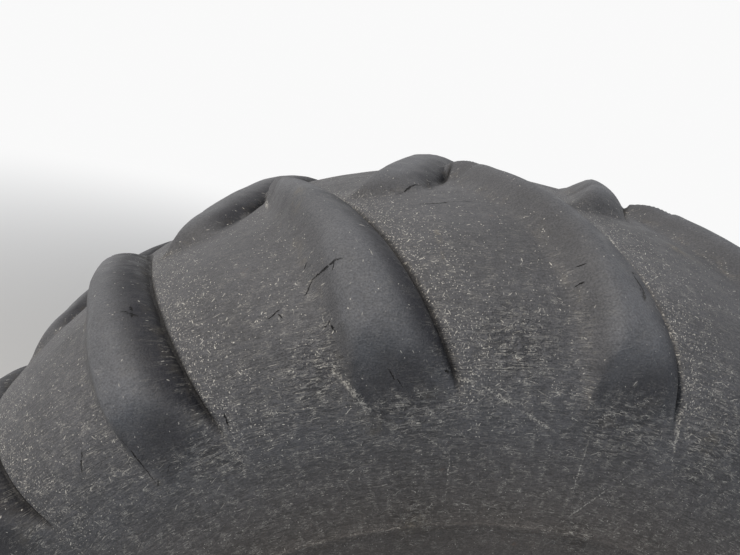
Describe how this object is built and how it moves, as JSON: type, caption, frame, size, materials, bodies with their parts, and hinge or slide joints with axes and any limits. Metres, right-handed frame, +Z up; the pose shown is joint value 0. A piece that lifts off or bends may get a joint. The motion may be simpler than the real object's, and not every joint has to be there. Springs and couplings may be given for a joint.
{
  "type": "forestry wheel with planetary axle end",
  "caption": "Lugged forestry tyre on a drop-centre rim and dished disc, bolted to a planetary hub that turns on the end of its axle.",
  "frame": {"origin": "middle of the axle flange's face, where the axle end bolts to the axle", "axes": "+Y along the wheel's axle towards the machine, -Y outboard, -X to the front of the machine, +Z up"},
  "size_m": [1.857, 0.8545, 1.858],
  "materials": {
    "tyre_rubber": "worn, dusty natural rubber with scuffs and cuts",
    "wheel_paint": "yellow enamel on welded steel plate, chipped and rusting at its edges",
    "hub_paint": "yellow enamel on sand-cast iron",
    "stud_steel": "phosphated steel with surface rust",
    "turned_steel": "turned and ground steel with an oil film",
    "valve_brass": "turned brass, dulled",
    "bush_bronze": "bored bronze bush"
  },
  "bodies": {
    "axle_end": {"axle_housing": "hub_paint", "spindle": "turned_steel", "spindle_screws": "stud_steel", "seal_guard": "hub_paint", "shaft_bush": "bush_bronze"},
    "wheel": {"tyre": "tyre_rubber", "rim": "wheel_paint", "disc": "wheel_paint", "valve_stem": "valve_brass", "valve_cap": "valve_brass", "valve_guard": "wheel_paint", "hub": "hub_paint", "wheel_studs": "stud_steel", "wheel_nuts": "stud_steel", "planet_housing": "hub_paint", "planet_bolts": "stud_steel", "centre_cap": "hub_paint", "cap_screws": "stud_steel", "oil_plug": "stud_steel"},
    "half_shaft": {"half_shaft": "turned_steel"}
  },
  "joints": [
    {"name": "wheel_spin", "type": "hinge", "parent": "axle_end", "child": "wheel", "pos_m": [0, -0.4, 0], "axis": [0, 1, 0], "continuous": true},
    {"name": "shaft_spin", "type": "hinge", "parent": "axle_end", "child": "half_shaft", "pos_m": [0, 0, 0], "axis": [0, 1, 0], "continuous": true}
  ],
  "couplings": [
    {"joint": "shaft_spin", "follows": "wheel_spin", "ratio": 5}
  ]
}
